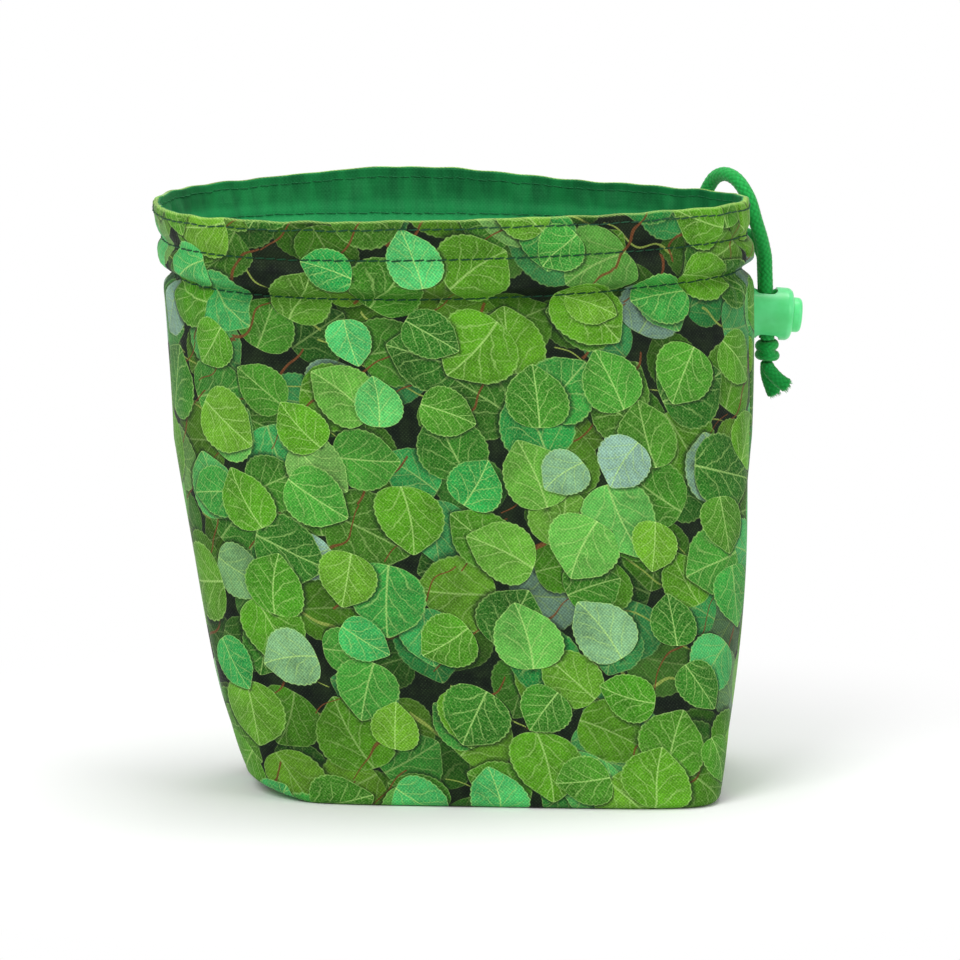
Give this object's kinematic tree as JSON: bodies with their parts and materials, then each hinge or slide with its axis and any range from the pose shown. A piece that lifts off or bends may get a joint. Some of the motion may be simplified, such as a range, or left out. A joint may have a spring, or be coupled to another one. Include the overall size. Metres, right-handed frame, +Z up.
{
  "type": "drawstring pouch",
  "caption": "Lined cotton drawstring pouch with a boxed base, standing with its mouth open, and a cord lock hanging from its cord at the right.",
  "frame": {"origin": "under the middle of the pouch's box, on the surface that it stands on", "axes": "+X to the right end, where the cord lock hangs, -Y to the front, +Z up"},
  "size_m": [0.1793, 0.0983, 0.1651],
  "materials": {
    "printed_cotton": "matt woven cotton in fields of leaf green on a dark ground",
    "lining_cotton": "matt plain woven cotton",
    "sewing_thread": "twisted sewing thread",
    "braided_cord": "soft round braid",
    "lock_plastic": "satin, slightly translucent",
    "spring_steel": "bright wire"
  },
  "bodies": {
    "pouch": {"outer_front_panel": "printed_cotton", "outer_back_panel": "printed_cotton", "lining_front_panel": "lining_cotton", "lining_back_panel": "lining_cotton", "rim_topstitch_thread": "sewing_thread", "upper_channel_thread": "sewing_thread", "lower_channel_thread": "sewing_thread", "eyelet_a_thread": "sewing_thread", "eyelet_b_thread": "sewing_thread", "drawcord_in_channel": "braided_cord", "drawcord_strand_a": "braided_cord", "drawcord_strand_b": "braided_cord", "cord_end_knot": "braided_cord", "drawcord_tail_a": "braided_cord", "drawcord_tail_b": "braided_cord"},
    "cord_lock": {"cord_lock_barrel": "lock_plastic", "cord_lock_spring": "spring_steel"},
    "plunger": {"cord_lock_plunger": "lock_plastic"}
  },
  "joints": [
    {"name": "lock_slide", "type": "slide", "parent": "pouch", "child": "cord_lock", "axis": [-0.0349, 0, 0.9994], "range_m": [0, 0.006]},
    {"name": "plunger_press", "type": "slide", "parent": "cord_lock", "child": "plunger", "axis": [-0.9962, 0, 0.0872], "range_m": [0, 0.002], "stiffness_N_per_m": 600, "springref_m": -0.002, "deforming": ["cord_lock_spring"]}
  ]
}
